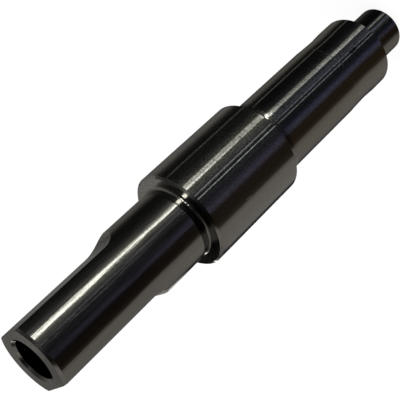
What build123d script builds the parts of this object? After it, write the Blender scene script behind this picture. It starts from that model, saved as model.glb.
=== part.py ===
"""Stepped shaft, turned and ground from one bar, with a double-D drive end and a bored end face.

The shaft stands on its stub: the origin is the centre of the stub's end face, +Z runs along the
axis towards the bored drive end, and the two milled flats face +X and -X. All sizes are millimetres.
"""

import math
import os

from build123d import *

# Diameters of the four turned sections, from the base up
STUB_D = 25.0
JOURNAL_D = 40.0
COLLAR_D = 50.0
DRIVE_D = 38.0

# Lengths of the four turned sections, from the base up
STUB_LENGTH = 24.0
JOURNAL_LENGTH = 88.0
COLLAR_LENGTH = 58.0
DRIVE_LENGTH = 92.0

# 45 degree chamfers
END_CHAMFER = 1.2  # ends of the stub, of the journal and of the drive section
COLLAR_CHAMFER = 1.0

# Grinding undercuts beside the collar: a ramp down, a straight floor and a fillet up to the shoulder
UNDERCUT_DEPTH = 0.4
UNDERCUT_FILLET = 1.0
UNDERCUT_RAMP_ANGLE = 15.0
DRIVE_UNDERCUT_WIDTH = 4.6
JOURNAL_UNDERCUT_WIDTH = 5.5

# Shallow turned relief that parts the journal's end seat from its long seat
END_SEAT_LENGTH = 10.5
RELIEF_D = 39.25
RELIEF_LOWER_TAPER = 6.0
RELIEF_FLOOR = 3.5
RELIEF_UPPER_TAPER = 10.5
RELIEF_STEP = 0.08  # fine step where the relief meets the long seat

# Double-D drive end: two parallel milled flats, each run out by the cutter
ACROSS_FLATS = 29.5
RIGHT_FLAT_LENGTH = 51.2  # straight length of the +X flat
LEFT_FLAT_LENGTH = 54.2  # straight length of the -X flat
CUTTER_RADIUS = 15.0

# Blind bore in the drive end face, left by a twist drill
BORE_D = 21.0
BORE_DEPTH = 48.0  # depth of the full diameter
BORE_CHAMFER = 1.2
DRILL_POINT_ANGLE = 118.0

# Centre hole in the stub's end face, for grinding between centres
CENTRE_MOUTH_D = 8.5
CENTRE_PILOT_D = 4.0
CENTRE_PILOT_DEPTH = 7.5
CENTRE_ANGLE = 60.0

# Heights of the shoulders, all from the lengths above
journal_base = STUB_LENGTH
collar_base = journal_base + JOURNAL_LENGTH
drive_base = collar_base + COLLAR_LENGTH
top = drive_base + DRIVE_LENGTH

stub_r = STUB_D / 2
journal_r = JOURNAL_D / 2
collar_r = COLLAR_D / 2
drive_r = DRIVE_D / 2
ramp = UNDERCUT_DEPTH / math.tan(math.radians(UNDERCUT_RAMP_ANGLE))


def drill_tip(radius, point_angle):
    """Height of the cone that a drill of this radius and point angle leaves."""
    return radius / math.tan(math.radians(point_angle / 2))


# Relief between the two seats of the journal
relief_base = journal_base + END_SEAT_LENGTH
relief_floor_base = relief_base + RELIEF_LOWER_TAPER
relief_floor_top = relief_floor_base + RELIEF_FLOOR
relief_top = relief_floor_top + RELIEF_UPPER_TAPER

# Floors of the two undercuts
journal_floor_r = journal_r - UNDERCUT_DEPTH
drive_floor_r = drive_r - UNDERCUT_DEPTH
journal_undercut_base = collar_base - JOURNAL_UNDERCUT_WIDTH
drive_undercut_top = drive_base + DRIVE_UNDERCUT_WIDTH

with BuildPart() as shaft:
    # The turned blank: half of its long section, revolved about the axis
    with BuildSketch(Plane.XZ):
        with BuildLine():
            lower = Polyline(
                (0, 0),
                (stub_r - END_CHAMFER, 0),
                (stub_r, END_CHAMFER),
                (stub_r, journal_base),
                (journal_r - END_CHAMFER, journal_base),
                (journal_r, journal_base + END_CHAMFER),
                (journal_r, relief_base),
                (RELIEF_D / 2, relief_floor_base),
                (RELIEF_D / 2, relief_floor_top),
                (journal_r - RELIEF_STEP, relief_top - RELIEF_STEP),
                (journal_r, relief_top),
                (journal_r, journal_undercut_base),
                (journal_floor_r, journal_undercut_base + ramp),
                (journal_floor_r, collar_base - UNDERCUT_FILLET),
            )
            journal_fillet = RadiusArc(
                lower @ 1,
                (journal_floor_r + UNDERCUT_FILLET, collar_base),
                UNDERCUT_FILLET,
            )
            middle = Polyline(
                journal_fillet @ 1,
                (collar_r - COLLAR_CHAMFER, collar_base),
                (collar_r, collar_base + COLLAR_CHAMFER),
                (collar_r, drive_base - COLLAR_CHAMFER),
                (collar_r - COLLAR_CHAMFER, drive_base),
                (drive_floor_r + UNDERCUT_FILLET, drive_base),
            )
            drive_fillet = RadiusArc(
                middle @ 1,
                (drive_floor_r, drive_base + UNDERCUT_FILLET),
                UNDERCUT_FILLET,
            )
            Polyline(
                drive_fillet @ 1,
                (drive_floor_r, drive_undercut_top - ramp),
                (drive_r, drive_undercut_top),
                (drive_r, top - END_CHAMFER),
                (drive_r - END_CHAMFER, top),
                (0, top),
                (0, 0),
            )
        make_face()
    revolve(axis=Axis.Z)

    # Blind bore with its mouth chamfer and the cone of the drill's point
    with BuildSketch(Plane.XZ):
        with BuildLine():
            Polyline(
                (0, top),
                (BORE_D / 2 + BORE_CHAMFER, top),
                (BORE_D / 2, top - BORE_CHAMFER),
                (BORE_D / 2, top - BORE_DEPTH),
                (0, top - BORE_DEPTH - drill_tip(BORE_D / 2, DRILL_POINT_ANGLE)),
                close=True,
            )
        make_face()
    revolve(axis=Axis.Z, mode=Mode.SUBTRACT)

    # Centre hole: a countersunk mouth for the centre and a pilot that ends in the drill's point
    mouth_depth = (CENTRE_MOUTH_D - CENTRE_PILOT_D) / 2 / math.tan(math.radians(CENTRE_ANGLE / 2))
    with BuildSketch(Plane.XZ):
        with BuildLine():
            Polyline(
                (0, 0),
                (CENTRE_MOUTH_D / 2, 0),
                (CENTRE_PILOT_D / 2, mouth_depth),
                (CENTRE_PILOT_D / 2, CENTRE_PILOT_DEPTH),
                (0, CENTRE_PILOT_DEPTH + drill_tip(CENTRE_PILOT_D / 2, DRILL_POINT_ANGLE)),
                close=True,
            )
        make_face()
    revolve(axis=Axis.Z, mode=Mode.SUBTRACT)

    # The two flats: what the cutter sweeps beside each flat, with the quarter turn of its run-out
    for side, flat_length in ((1, RIGHT_FLAT_LENGTH), (-1, LEFT_FLAT_LENGTH)):
        flat_x = side * ACROSS_FLATS / 2
        outer_x = side * (ACROSS_FLATS / 2 + CUTTER_RADIUS)
        run_out_top = top - flat_length
        with BuildSketch(Plane.XZ):
            with BuildLine():
                Line((flat_x, top), (flat_x, run_out_top))
                RadiusArc(
                    (flat_x, run_out_top),
                    (outer_x, run_out_top - CUTTER_RADIUS),
                    -side * CUTTER_RADIUS,
                )
                Polyline(
                    (outer_x, run_out_top - CUTTER_RADIUS),
                    (outer_x, top),
                    (flat_x, top),
                )
            make_face()
        extrude(amount=drive_r, both=True, mode=Mode.SUBTRACT)

shaft.part.label = "shaft"

os.makedirs("parts", exist_ok=True)
export_step(shaft.part, "parts/shaft.step")
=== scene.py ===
"""Stepped shaft of dark ground steel, standing on its stub in a studio that is laid round it."""

import math

import bpy
from mathutils import Matrix, Vector

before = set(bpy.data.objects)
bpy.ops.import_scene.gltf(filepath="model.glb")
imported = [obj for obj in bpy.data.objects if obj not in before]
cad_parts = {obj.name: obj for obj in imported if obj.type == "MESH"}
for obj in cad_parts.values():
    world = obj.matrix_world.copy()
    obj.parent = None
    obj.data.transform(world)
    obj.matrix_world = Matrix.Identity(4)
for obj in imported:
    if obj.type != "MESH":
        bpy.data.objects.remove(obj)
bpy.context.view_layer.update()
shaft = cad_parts["shaft"]
scene = bpy.context.scene
MM = 0.001

# Heights of the shaft's sections, in millimetres
RELIEF_BASE, RELIEF_TOP = 34.5, 54.5
COLLAR_BASE, DRIVE_BASE, FLAT_BASE, TOP = 112.0, 170.0, 190.0, 262.0

# Their radii, and the distance of each flat from the axis
STUB_R, RELIEF_R, JOURNAL_R, COLLAR_R, DRIVE_R, FLAT_X = 12.5, 19.625, 20.0, 25.0, 19.0, 14.75

# The steel's reflectance, seen square on
STEEL_COLOUR = (0.20, 0.197, 0.190)


# ---------------------------------------------------------------- camera
def place_camera(location, target, roll, lens):
    data = bpy.data.cameras.new("camera")
    data.lens = lens
    data.sensor_width = 36.0
    data.clip_start = 0.01
    data.clip_end = 20.0
    camera = bpy.data.objects.new("camera", data)
    scene.collection.objects.link(camera)
    camera.location = location
    look = (Vector(target) - location).to_track_quat("-Z", "Y").to_matrix().to_4x4()
    camera.rotation_mode = "QUATERNION"
    camera.rotation_quaternion = (look @ Matrix.Rotation(-roll, 4, "Z")).to_quaternion()
    scene.camera = camera


CAMERA_AT = Vector((0.0415, -0.3835, 0.3758))
place_camera(CAMERA_AT, (0.00034, 0.00004, 0.15383), math.radians(133.66), 87.6)


# ---------------------------------------------------------------- node helpers
class Nodes:
    """A short way to write a node tree."""

    def __init__(self, tree):
        self.tree = tree
        tree.nodes.clear()

    def add(self, kind, inputs=None, **props):
        node = self.tree.nodes.new(kind)
        for key, value in props.items():
            setattr(node, key, value)
        for key, value in (inputs or {}).items():
            socket = node.inputs[key]
            if isinstance(value, bpy.types.NodeSocket):
                self.tree.links.new(value, socket)
            else:
                socket.default_value = value
        return node

    def math(self, operation, a, b=None, clamp=False):
        values = {0: a} if b is None else {0: a, 1: b}
        return self.add("ShaderNodeMath", values, operation=operation, use_clamp=clamp).outputs[0]

    def plus(self, first, *others):
        for other in others:
            first = self.math("ADD", first, other)
        return first

    def times(self, first, *others):
        for other in others:
            first = self.math("MULTIPLY", first, other)
        return first

    def mix(self, share, a, b):
        return self.add("ShaderNodeMix", {0: share, 2: a, 3: b}, data_type="FLOAT").outputs[0]

    def unit(self, vector):
        return self.add("ShaderNodeVectorMath", {0: vector}, operation="NORMALIZE").outputs[0]

    def ramp(self, value, low, high, start=0.0, end=1.0):
        """The value taken from low..high to start..end, held at both ends."""
        inputs = {"Value": value, "From Min": low, "From Max": high, "To Min": start, "To Max": end}
        return self.add("ShaderNodeMapRange", inputs, clamp=True).outputs[0]

    def noise(self, vector, scale, stretch=(1, 1, 1), detail=2.0, roughness=0.5):
        """Noise over millimetres: scale is cells per millimetre, stretch weighs the three axes."""
        sized = self.add("ShaderNodeVectorMath", {0: vector, 1: stretch}, operation="MULTIPLY").outputs[0]
        inputs = {"Vector": sized, "Scale": scale, "Detail": detail, "Roughness": roughness}
        return self.add("ShaderNodeTexNoise", inputs).outputs["Fac"]


def new_material(name):
    material = bpy.data.materials.new(name)
    material.use_nodes = True
    return material, Nodes(material.node_tree)


# ---------------------------------------------------------------- steel
class SteelPlaces:
    """Where a point of the steel lies, in millimetres, and masks of the shaft's parts from 0 to 1."""

    def __init__(self, n):
        self.n = n
        place = n.add("ShaderNodeTexCoord").outputs["Object"]
        self.mm = n.add("ShaderNodeVectorMath", {0: place, "Scale": 1 / MM}, operation="SCALE").outputs[0]
        axes = n.add("ShaderNodeSeparateXYZ", {0: self.mm}).outputs
        self.x, self.y, self.height = axes["X"], axes["Y"], axes["Z"]
        self.radius = n.math("SQRT", n.plus(n.math("POWER", self.x, 2.0), n.math("POWER", self.y, 2.0)))

    def between(self, value, low, high, edge):
        """1 between low and high, fading to 0 over the edge outside them."""
        rise = self.n.ramp(value, low - edge, low)
        fall = self.n.ramp(value, high, high + edge, 1.0, 0.0)
        return self.n.times(rise, fall)

    def collar(self):
        return self.n.ramp(self.radius, COLLAR_R - 0.25, COLLAR_R - 0.15)

    def journal(self):
        """Everything below the collar."""
        return self.n.ramp(self.height, COLLAR_BASE, COLLAR_BASE - 0.5)

    def drive(self):
        """The drive section above its undercut."""
        return self.n.ramp(self.height, DRIVE_BASE + 3, DRIVE_BASE + 6)

    def flats(self):
        """The two milled flats with their run-outs: inside the drive's round, outside its bore."""
        across = self.n.math("GREATER_THAN", self.n.math("ABSOLUTE", self.x), FLAT_X - 0.1)
        inside = self.n.math("LESS_THAN", self.radius, DRIVE_R - 0.06)
        return self.n.times(across, inside, self.between(self.height, FLAT_BASE, TOP - 0.05, 0.02))

    def faces(self):
        """Faces square to the axis, which are turned: the end faces and the shoulders."""
        way = self.n.add("ShaderNodeTexCoord").outputs["Normal"]
        upright = self.n.math("ABSOLUTE", self.n.add("ShaderNodeSeparateXYZ", {0: way}).outputs["Z"])
        return self.n.math("GREATER_THAN", upright, 0.9)

    def soft(self):
        """Where tapers are polished soft, and lean less than their shape: relief and undercut ramp."""
        relief = self.between(self.height, RELIEF_BASE, RELIEF_TOP, 0.5)
        ramp = self.between(self.height, DRIVE_BASE + 2.8, DRIVE_BASE + 4.6, 0.6)
        return self.n.math("MAXIMUM", self.n.times(relief, 0.8), self.n.times(ramp, 0.65))

    def ring(self):
        """The fine step where the relief meets the long seat."""
        return self.between(self.height, RELIEF_TOP - 0.15, RELIEF_TOP + 0.15, 0.15)

    def highlight_side(self):
        """0 on the -X side to 1 on the +X side, where the highlight stripe falls: grain weighted by it
        paints a sparkle into the highlight.
        """
        return self.n.ramp(self.n.math("DIVIDE", self.x, self.radius), -0.45, 0.10)

    def patch(self, azimuth, radius, width, low, high):
        """A small patch round this azimuth in degrees, at this radius and between two heights."""
        n = self.n
        cos, sin = math.cos(math.radians(azimuth)), math.sin(math.radians(azimuth))
        across = n.math("SUBTRACT", n.times(self.y, cos), n.times(self.x, sin))
        out = n.plus(n.times(self.x, cos), n.times(self.y, sin))
        wide = self.between(across, -width / 2, width / 2, 0.15)
        tall = self.between(self.height, low, high, 0.2)
        return n.times(wide, tall, self.between(out, radius - 0.5, radius + 0.3, 0.01))


# Small marks, nicks and streaks whose light is painted into the steel's colour: the brighter ones are
# painted glints and light streaks, the darker ones, where the highlight stripe falls, painted breaks in
# it. Columns: azimuth, radius, width, from height, to height, and what the mark multiplies the steel's
# colour by
MARKS_AND_PAINTED_GLINTS = [
    (-117.5, COLLAR_R, 0.35, 145.3, 148.4, 2.6),
    (-64.5, COLLAR_R, 1.6, 129.5, 130.0, 0.3),
    (-78.7, RELIEF_R, 1.7, 40.4, 44.9, 0.25),
    (-78.7, RELIEF_R, 0.4, 41.0, 44.2, 3.5),
    (-63.5, JOURNAL_R, 3.2, 54.3, 54.7, 0.35),
    (-64.5, RELIEF_R, 1.6, 50.5, 53.2, 1.35),
    (-63.5, RELIEF_R, 1.2, 46.5, 49.0, 1.20),
    (-117.0, JOURNAL_R, 2.4, 53.9, 54.3, 1.35),
    (-117.0, RELIEF_R, 1.4, 48.5, 53.5, 1.15),
    (-137.0, RELIEF_R, 1.2, 50.5, 53.0, 1.15),
]

# Noise of each pattern in the steel: cells per millimetre, and how each axis stretches it
SPECKS = 1.2, (1.0, 1.0, 1.0)
STREAKS = 1.2, (1.0, 1.0, 0.05)
SMUDGES = 0.12, (1.0, 1.0, 1.0)
TURNING_MARKS = 2.5, (0.03, 0.03, 1.0)
DRAW_LINES = 1.2, (1.0, 1.0, 0.04)
RIPPLES = 1.4, (1.0, 1.0, 0.5)

# Depth of a pattern that counts as 1, in millimetres
PATTERN_DEPTH = 0.03


def steel_colour(n, at, flats, faces):
    """Colour with a grain of light and dark specks and streaks on the drive, weighted towards the
    highlight side as a painted sparkle, and small marks, whose brighter ones are painted glints.
    """
    # The grain is the steel's own random tone; its share rising towards +X, where the highlight stripe
    # falls, paints a sparkle into the highlight.
    side = n.plus(0.15, n.times(at.highlight_side(), 0.85))
    coarse = n.times(n.math("MAXIMUM", at.collar(), at.journal()), 0.55)
    dull = n.times(n.math("MAXIMUM", flats, faces), 0.15)
    speck_share = n.times(n.plus(0.30, coarse, dull), side)
    streak_share = n.times(n.plus(0.10, n.times(at.drive(), 0.30)), side)
    specks = n.ramp(n.noise(at.mm, *SPECKS, detail=1.0), 0.32, 0.68, -0.5, 0.5)
    streaks = n.ramp(n.noise(at.mm, *STREAKS, detail=1.0), 0.35, 0.65, -0.5, 0.5)
    shade = n.plus(1.0, n.times(specks, speck_share), n.times(streaks, streak_share))
    # The brighter marks are painted glints; the darker ones, where the highlight stripe falls, are
    # painted breaks in it.
    for *place, share in MARKS_AND_PAINTED_GLINTS:
        shade = n.mix(at.patch(*place), shade, n.times(shade, share))
    inputs = {0: 1.0, 6: (*STEEL_COLOUR, 1), 7: shade}
    return n.add("ShaderNodeMix", inputs, data_type="RGBA", blend_type="MULTIPLY").outputs[2]


def steel_roughness(n, at, flats, faces):
    """Polished rounds with faint smudges, duller turned faces and milled flats, a dull ring."""
    smudges = n.ramp(n.noise(at.mm, *SMUDGES, detail=3.0), 0.35, 0.65, 0.05, 0.08)
    return n.plus(smudges, n.times(faces, 0.05), n.times(flats, 0.20), n.times(at.ring(), 0.25))


def steel_height(n, at, flats, faces):
    """Relief of the surface: marks round the axis, lines along it, and ripples in the polish."""
    turned = n.plus(at.height, at.radius)
    path = n.add("ShaderNodeCombineXYZ", {0: at.x, 1: at.y, 2: turned}).outputs[0]
    marks = n.noise(path, *TURNING_MARKS, detail=3.0)
    lines = n.noise(at.mm, *DRAW_LINES, detail=2.0)
    ripples = n.noise(at.mm, *RIPPLES, detail=1.0)
    mark_depth = n.plus(0.3, n.times(faces, 0.6))
    line_depth = n.plus(0.1, n.times(at.drive(), 0.8), n.times(flats, 1.5))
    ripple_depth = n.plus(0.10, n.times(at.drive(), 0.15))
    return n.plus(n.times(marks, mark_depth), n.times(lines, line_depth), n.times(ripples, ripple_depth))


def steel_normal(n, at, flats, faces):
    """The shape's normal, softened where tapers are polished soft, with the surface relief on it."""
    outward = n.unit(n.add("ShaderNodeCombineXYZ", {0: at.x, 1: at.y}).outputs[0])
    shape = n.add("ShaderNodeNewGeometry").outputs["Normal"]
    inputs = {0: at.soft(), 4: shape, 5: outward}
    lean = n.unit(n.add("ShaderNodeMix", inputs, data_type="VECTOR").outputs[1])
    height = steel_height(n, at, flats, faces)
    inputs = {"Strength": 1.0, "Distance": PATTERN_DEPTH * MM, "Height": height, "Normal": lean}
    return n.add("ShaderNodeBump", inputs).outputs[0]


def make_steel():
    steel, n = new_material("ground_steel")
    at = SteelPlaces(n)
    flats, faces = at.flats(), at.faces()
    inputs = {
        "Base Color": steel_colour(n, at, flats, faces),
        "Metallic": 1.0,
        "Roughness": steel_roughness(n, at, flats, faces),
        "Anisotropic": 0.6,
        "Anisotropic Rotation": 0.25,
        "Tangent": n.add("ShaderNodeTangent", direction_type="RADIAL", axis="Z").outputs[0],
        "Normal": steel_normal(n, at, flats, faces),
    }
    surface = n.add("ShaderNodeBsdfPrincipled", inputs).outputs[0]
    n.add("ShaderNodeOutputMaterial", {"Surface": surface})
    return steel


shaft.material_slots[0].material = make_steel()


# ---------------------------------------------------------------- studio surround
# The shaft shows its surround as bands along its length. A band's place is its side: the sine of
# the angle from the camera to the wall that shows it, negative towards +X. Its tone is the display
# level that the steel shows there: 255 is white, and more than that is a lamp. What is near the
# shaft's foot shows low on the shaft, so the surround has a zone of bands for each section.
# The stops are (side, tone), rounded. The floor's bands and the tints follow the tones
# measured across each section in the photograph. The other bands are coarser, made from those and
# from tones read off its chamfers, shoulders and end face. What stands behind the shaft is made up.

# Tints of the bands: side, share of green and share of blue, against red
HIGH_TINTS = [
    (-1.00, 0.99, 0.96), (-0.86, 0.98, 0.92), (-0.72, 1.00, 0.98), (-0.47, 1.00, 0.97),
    (-0.43, 1.00, 0.92), (-0.39, 1.00, 0.94), (-0.37, 1.00, 0.96), (-0.30, 1.00, 0.96),
    (-0.28, 1.00, 0.92), (-0.24, 1.00, 0.93), (-0.18, 1.02, 1.02), (-0.05, 1.03, 1.04),
    (0.07, 1.02, 1.16), (0.19, 0.99, 1.29), (0.27, 0.94, 1.10), (0.34, 0.84, 0.75), (0.45, 0.80, 0.60),
    (0.53, 0.87, 0.74), (0.60, 0.96, 0.91), (1.00, 0.975, 0.95),
]
LOW_TINTS = [
    (-1.00, 0.98, 0.94), (-0.80, 0.98, 0.88), (-0.74, 1.00, 0.98), (-0.62, 1.02, 1.08),
    (-0.48, 1.00, 1.02), (-0.40, 1.00, 0.96), (-0.32, 1.01, 0.99), (-0.28, 1.05, 1.14),
    (-0.17, 1.05, 1.18), (-0.06, 1.02, 1.06), (0.04, 1.07, 1.18), (0.13, 1.05, 1.42),
    (0.20, 1.01, 1.40), (0.25, 0.98, 1.27), (0.31, 0.98, 1.04), (0.37, 0.82, 0.62), (0.48, 0.73, 0.48),
    (0.55, 0.84, 0.68), (0.62, 0.95, 0.87), (1.00, 0.965, 0.93),
]

# Bands on the floor, from what the drive section shows down to what the stub shows
DRIVE_BANDS = [
    (-1.00, 60), (-0.97, 50), (-0.91, 62), (-0.87, 50), (-0.82, 24), (-0.77, 13), (-0.70, 14),
    (-0.60, 20), (-0.52, 34), (-0.46, 56), (-0.44, 64), (-0.41, 72), (-0.396, 96), (-0.374, 200),
    (-0.358, 246), (-0.33, 250), (-0.315, 262), (-0.303, 262), (-0.291, 110), (-0.281, 80), (-0.24, 80),
    (-0.20, 58), (-0.165, 42), (-0.148, 44), (-0.136, 72), (-0.112, 70), (-0.100, 26), (-0.078, 26),
    (-0.066, 54), (-0.042, 54), (-0.030, 25), (0.10, 22), (0.15, 23), (0.19, 30), (0.24, 33),
    (0.29, 14), (0.42, 15), (0.50, 19), (0.55, 30), (0.59, 74), (0.66, 82), (0.80, 80), (0.88, 75),
    (0.93, 60), (0.955, 22), (0.975, 22), (0.985, 40), (1.00, 60),
]
DRIVE_FOOT_BANDS = [
    (-1.00, 60), (-0.97, 50), (-0.91, 62), (-0.87, 48), (-0.82, 24), (-0.77, 13), (-0.72, 12),
    (-0.60, 19), (-0.52, 30), (-0.46, 48), (-0.43, 60), (-0.41, 68), (-0.396, 88), (-0.375, 152),
    (-0.35, 178), (-0.335, 200), (-0.32, 250), (-0.303, 250), (-0.292, 84), (-0.26, 66), (-0.22, 70),
    (-0.19, 50), (-0.12, 52), (-0.09, 27), (-0.05, 40), (-0.02, 22), (0.07, 19), (0.13, 25), (0.22, 39),
    (0.26, 35), (0.30, 18), (0.48, 19), (0.55, 30), (0.59, 70), (0.66, 82), (0.82, 82), (0.88, 75),
    (0.93, 60), (0.955, 18), (0.975, 18), (0.985, 40), (1.00, 60),
]
COLLAR_BANDS = [
    (-1.00, 20), (-0.97, 50), (-0.91, 64), (-0.86, 46), (-0.82, 24), (-0.77, 14), (-0.725, 14),
    (-0.715, 52), (-0.70, 52), (-0.69, 17), (-0.58, 19), (-0.51, 28), (-0.45, 46), (-0.42, 54),
    (-0.405, 64), (-0.39, 148), (-0.37, 164), (-0.35, 144), (-0.338, 148), (-0.326, 224), (-0.306, 232),
    (-0.292, 60), (-0.265, 66), (-0.22, 55), (-0.18, 54), (-0.152, 34), (-0.142, 38), (-0.134, 108),
    (-0.120, 108), (-0.112, 34), (-0.090, 40), (-0.078, 16), (-0.062, 10), (-0.052, 128), (-0.040, 132),
    (-0.031, 15), (-0.015, 14), (0.00, 34), (0.07, 26), (0.13, 29), (0.19, 41), (0.25, 47), (0.29, 36),
    (0.33, 25), (0.46, 26), (0.53, 29), (0.57, 38), (0.61, 76), (0.67, 86), (0.79, 85), (0.87, 81),
    (0.93, 72), (0.96, 28), (1.00, 12),
]
JOURNAL_BANDS = [
    (-1.00, 30), (-0.97, 44), (-0.91, 58), (-0.865, 44), (-0.82, 17), (-0.78, 9), (-0.770, 9),
    (-0.760, 60), (-0.745, 60), (-0.735, 9), (-0.60, 11), (-0.53, 16), (-0.46, 27), (-0.43, 30),
    (-0.41, 86), (-0.38, 108), (-0.34, 134), (-0.318, 128), (-0.306, 32), (-0.25, 38), (-0.20, 51),
    (-0.168, 38), (-0.155, 36), (-0.146, 74), (-0.130, 76), (-0.122, 56), (-0.110, 50), (-0.103, 12),
    (-0.074, 12), (-0.064, 76), (-0.038, 80), (-0.030, 15), (0.00, 19), (0.07, 17), (0.13, 21),
    (0.19, 39), (0.25, 46), (0.29, 41), (0.34, 25), (0.40, 29), (0.50, 29), (0.57, 36), (0.62, 68),
    (0.68, 80), (0.79, 79), (0.86, 73), (0.93, 62), (0.965, 36), (1.00, 30),
]
STUB_BANDS = [
    (-1.00, 10), (-0.96, 34), (-0.90, 34), (-0.84, 20), (-0.74, 11), (-0.66, 7), (-0.48, 7),
    (-0.44, 28), (-0.40, 66), (-0.37, 104), (-0.335, 84), (-0.30, 22), (-0.27, 22), (-0.22, 46),
    (-0.18, 62), (-0.16, 62), (-0.11, 42), (-0.05, 26), (0.00, 16), (0.10, 16), (0.19, 30), (0.25, 40),
    (0.31, 31), (0.40, 22), (0.52, 22), (0.58, 30), (0.64, 54), (0.70, 73), (0.86, 69), (0.93, 56),
    (0.97, 30), (1.00, 10),
]

# Bands on the wall and overhead, which chamfers, shoulders, fillets and the end face show
WALL_BANDS = [
    (-1.00, 60), (-0.96, 70), (-0.88, 90), (-0.80, 80), (-0.70, 84), (-0.60, 60), (-0.46, 56),
    (-0.40, 90), (-0.30, 120), (-0.25, 70), (-0.15, 48), (0.00, 26), (0.10, 24), (0.22, 36), (0.32, 18),
    (0.50, 20), (0.60, 78), (0.90, 78), (0.96, 50), (1.00, 60),
]
HIGH_BANDS = [
    (-1.00, 90), (-0.985, 88), (-0.93, 70), (-0.85, 56), (-0.75, 36), (-0.60, 40), (-0.45, 60),
    (-0.39, 90), (-0.30, 90), (-0.285, 60), (-0.22, 50), (-0.10, 20), (0.10, 10), (0.48, 8), (0.58, 24),
    (0.66, 84), (0.76, 92), (0.90, 80), (0.94, 30), (0.97, 8), (1.00, 4),
]
OVERHEAD_BANDS = [
    (-1.00, 60), (-0.93, 60), (-0.85, 50), (-0.75, 34), (-0.45, 44), (-0.30, 56), (-0.15, 44),
    (0.05, 26), (0.48, 14), (0.58, 30), (0.66, 84), (0.90, 80), (0.95, 40), (0.98, 16), (1.00, 16),
]

# Bands that only the undercut beside the journal shows
UNDERCUT_BANDS = [
    (-1.00, 20), (-0.85, 16), (-0.75, 17), (-0.60, 24), (-0.48, 50), (-0.41, 80), (-0.388, 320),
    (-0.304, 320), (-0.288, 80), (-0.24, 60), (-0.15, 34), (0.00, 22), (0.20, 20), (0.35, 14),
    (0.55, 18), (0.65, 62), (0.75, 80), (0.90, 82), (1.00, 60),
]

# Stops that take the place of a zone's own: the weaker stripe at the collar's lower end, and the
# lamp high on the wall that the drive's undercut shows
COLLAR_FOOT_STRIPE = [
    (-0.39, 146), (-0.37, 140), (-0.335, 136), (-0.325, 152), (-0.313, 152), (-0.300, 55),
]
UPPER_STRIPE = [(-0.39, 90), (-0.383, 480), (-0.30, 480), (-0.285, 60)]

# A strip and two lines behind the shaft, which its back shows
BACK_STRIP = [
    (0.950, 40), (0.9515, 110), (0.953, 110), (0.9545, 30), (0.957, 30), (0.9585, 130), (0.960, 130),
    (0.961, 34), (0.967, 44), (0.969, 220), (0.981, 220), (0.983, 50),
]


def with_stops(bands, stops):
    """The bands with these stops in place of the ones that they span."""
    low, high = stops[0][0], stops[-1][0]
    return [b for b in bands if b[0] < low] + stops + [b for b in bands if b[0] > high]


# Each zone's bands and tints
ZONES = {
    "stub": (STUB_BANDS, LOW_TINTS),
    "journal": (JOURNAL_BANDS, LOW_TINTS),
    "undercut": (UNDERCUT_BANDS, HIGH_TINTS),
    "collar foot": (with_stops(COLLAR_BANDS, COLLAR_FOOT_STRIPE), HIGH_TINTS),
    "collar": (COLLAR_BANDS, HIGH_TINTS),
    "drive foot": (DRIVE_FOOT_BANDS, HIGH_TINTS),
    "drive": (with_stops(DRIVE_BANDS, BACK_STRIP), HIGH_TINTS),
    "low wall": (with_stops(WALL_BANDS, BACK_STRIP), HIGH_TINTS),
    "wall": (WALL_BANDS, HIGH_TINTS),
    "upper": (with_stops(HIGH_BANDS, UPPER_STRIPE), HIGH_TINTS),
    "high": (HIGH_BANDS, HIGH_TINTS),
    "overhead": (OVERHEAD_BANDS, HIGH_TINTS),
}

# Rows of the surround, in millimetres, out from the shaft's foot. The floor part is a thin card
# over the floor; past it the surround curves up to a wall and closes overhead.
CARD_HEIGHT = 0.6
FLOOR_REACH = 900
WALL_REACH = 1200
FLOOR_ROWS = [  # reach, zone
    (-9, "journal"), (90, "journal"), (144.5, "journal"), (145.5, "undercut"), (153, "undercut"),
    (156, "collar foot"), (190, "collar foot"), (299, "collar"), (304, "drive foot"),
    (370, "drive foot"), (470, "drive"), (870, "drive"), (FLOOR_REACH, "undercut"),
]
CURVE_STEPS = 6
UNDERCUT_STEPS = 2  # steps of the curve that the ramp of the journal's undercut shows
WALL_ROWS = [  # reach, height, zone
    (WALL_REACH, 450, "low wall"), (WALL_REACH, 500, "wall"), (WALL_REACH, 680, "wall"),
    (WALL_REACH, 730, "upper"), (WALL_REACH, 1050, "upper"), (WALL_REACH, 1100, "high"),
    (WALL_REACH, 1500, "high"), (830, 1685, "high"), (790, 1705, "overhead"), (0, 2100, "overhead"),
]

# The stub is narrower, so it has a card of its own, just over the other one
FOOT_HEIGHT = 0.9
FOOT_REACHES = (-3, 10, 23)


def along(rows, side):
    """The row at this side, between the two nearest rows of a list."""
    for lower, upper in zip(rows, rows[1:]):
        if side <= upper[0]:
            share = (side - lower[0]) / (upper[0] - lower[0])
            return [a + (b - a) * share for a, b in zip(lower[1:], upper[1:])]
    return list(rows[-1][1:])


def linear(level):
    """Linear light of a display level."""
    value = level / 255
    return value / 12.92 if value <= 0.04045 else ((value + 0.055) / 1.055) ** 2.4


def zone_light(zone, side):
    """Light that makes the steel show the zone's tone at this side."""
    bands, tints = ZONES[zone]
    (level,) = along(bands, side)
    green, blue = along(tints, side)
    return [linear(level * share) / STEEL_COLOUR[0] for share in (1.0, green, blue)]


def foot_rows():
    """The rows of the stub's card: (reach, height, zone)."""
    return [(reach, FOOT_HEIGHT, "stub") for reach in FOOT_REACHES]


def surround_rows():
    """All rows of the surround: (reach, height, zone)."""
    rows = [(reach, CARD_HEIGHT, zone) for reach, zone in FLOOR_ROWS]
    curve = WALL_REACH - FLOOR_REACH
    for step in range(1, CURVE_STEPS + 1):
        turn = math.radians(90 * step / CURVE_STEPS)
        reach = FLOOR_REACH + curve * math.sin(turn)
        height = CARD_HEIGHT + curve * (1 - math.cos(turn))
        rows.append((reach, height, "undercut" if step <= UNDERCUT_STEPS else "low wall"))
    return rows + WALL_ROWS


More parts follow.
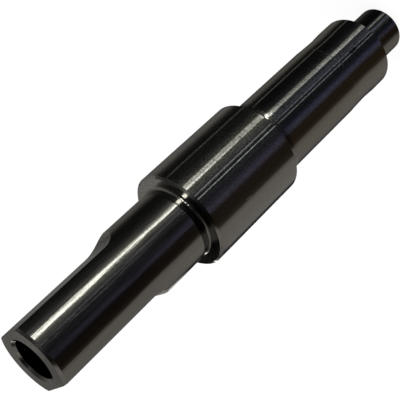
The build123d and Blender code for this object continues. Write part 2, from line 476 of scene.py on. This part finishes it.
def surround_columns(steps, gap_steps):
    """Columns of the surround: (start x, start y, direction x, direction y, side).

    A column starts at a point of the round wall, and runs the way that the wall there mirrors a
    look from the photograph's side.
    """
    view = math.atan2(CAMERA_AT.y, CAMERA_AT.x)
    columns = []
    for step in range(steps + 1):
        turn = math.radians(180 * step / steps - 90)
        start = view - turn
        way = view - 2 * turn
        columns.append((math.cos(start), math.sin(start), math.cos(way), math.sin(way), math.sin(turn)))
    # the gap straight behind the shaft, between the last column and the first
    last, first = columns[-1], columns[0]
    for step in range(1, gap_steps + 1):
        share = step / gap_steps
        start = [a + (b - a) * share for a, b in zip(last[:2], first[:2])]
        columns.append((*start, *last[2:4], 1.0 if share < 0.5 else -1.0))
    return columns


def stage_mesh(name, points, faces, material):
    """A mesh of the studio, which isn't part of the shaft."""
    mesh = bpy.data.meshes.new(name)
    mesh.from_pydata(points, [], faces)
    mesh.materials.append(material)
    made = bpy.data.objects.new(name, mesh)
    scene.collection.objects.link(made)
    return made


def reflection_only(card):
    """Only reflections see the card: it hides nothing and lights nothing else."""
    card.visible_camera = False
    card.visible_diffuse = False
    card.visible_transmission = False
    card.visible_volume_scatter = False
    card.visible_shadow = False


def make_glow():
    """Material of the surround: it shines in the colours that its points carry."""
    material, n = new_material("glow")
    tone = n.add("ShaderNodeAttribute", attribute_name="tone").outputs["Color"]
    glow = n.add("ShaderNodeEmission", {"Color": tone, "Strength": 1.0}).outputs[0]
    n.add("ShaderNodeOutputMaterial", {"Surface": glow})
    return material


def make_surround(name, radius, rows, material):
    """A surround for a round section of this radius, from its rows, with its tones at its points."""
    points, tones = [], []
    columns = surround_columns(steps=900, gap_steps=4)
    for start_x, start_y, way_x, way_y, side in columns:
        lights = {zone: (*zone_light(zone, side), 1.0) for _, _, zone in rows}
        for reach, height, zone in rows:
            x = radius * start_x + reach * way_x
            y = radius * start_y + reach * way_y
            points.append((x * MM, y * MM, height * MM))
            tones.extend(lights[zone])
    count = len(rows)
    faces = []
    for column in range(len(columns) - 1):
        for row in range(count - 1):
            corner = column * count + row
            faces.append((corner, corner + 1, corner + count + 1, corner + count))
    card = stage_mesh(name, points, faces, material)
    layer = card.data.color_attributes.new("tone", "FLOAT_COLOR", "POINT")
    layer.data.foreach_set("color", tones)
    reflection_only(card)


glow = make_glow()
make_surround("surround", JOURNAL_R, surround_rows(), glow)
make_surround("foot_card", STUB_R, foot_rows(), glow)


# ---------------------------------------------------------------- floor, world and lamps
def seen_directly(n):
    """1 for rays from the camera, from reflections and through glass, and 0 for light on the floor."""
    path = n.add("ShaderNodeLightPath").outputs
    seen = n.plus(path["Is Camera Ray"], path["Is Glossy Ray"])
    return n.math("ADD", seen, path["Is Transmission Ray"], clamp=True)


def make_floor(half_width, white_share):
    """A pale floor. Seen directly, this share of it is plain white, so that the rest keeps shadows."""
    material, n = new_material("floor")
    white = n.add("ShaderNodeEmission", {"Color": (1, 1, 1, 1), "Strength": 1.0}).outputs[0]
    matt = n.add("ShaderNodeBsdfDiffuse", {"Color": (0.9, 0.9, 0.9, 1)}).outputs[0]
    share = n.times(seen_directly(n), white_share)
    both = n.add("ShaderNodeMixShader", {0: share, 1: matt, 2: white}).outputs[0]
    n.add("ShaderNodeOutputMaterial", {"Surface": both})
    w = half_width
    stage_mesh("floor", [(-w, -w, 0), (w, -w, 0), (w, w, 0), (-w, w, 0)], [(0, 1, 2, 3)], material)


def make_world():
    world = bpy.data.worlds.new("world")
    scene.world = world
    world.use_nodes = True
    n = Nodes(world.node_tree)
    sky = n.add("ShaderNodeBackground", {"Color": (1, 1, 1, 1), "Strength": 1.0}).outputs[0]
    n.add("ShaderNodeOutputWorld", {"Surface": sky})


def soft_lamp(name, location, size, watts):
    data = bpy.data.lights.new(name, "AREA")
    data.shape = "DISK"
    data.size = size
    data.energy = watts
    lamp = bpy.data.objects.new(name, data)
    scene.collection.objects.link(lamp)
    lamp.location = location
    lamp.rotation_mode = "QUATERNION"
    middle = Vector((0, 0, TOP / 2 * MM))
    lamp.rotation_quaternion = (middle - Vector(location)).to_track_quat("-Z", "Y")
    lamp.visible_glossy = False  # the steel shows the surround instead


make_floor(half_width=3.0, white_share=0.85)
make_world()
soft_lamp("key", (-0.7, -0.5, 1.5), 1.0, 12)
soft_lamp("fill", (0.9, 0.3, 1.2), 1.0, 6)
scene.view_settings.view_transform = "Standard"
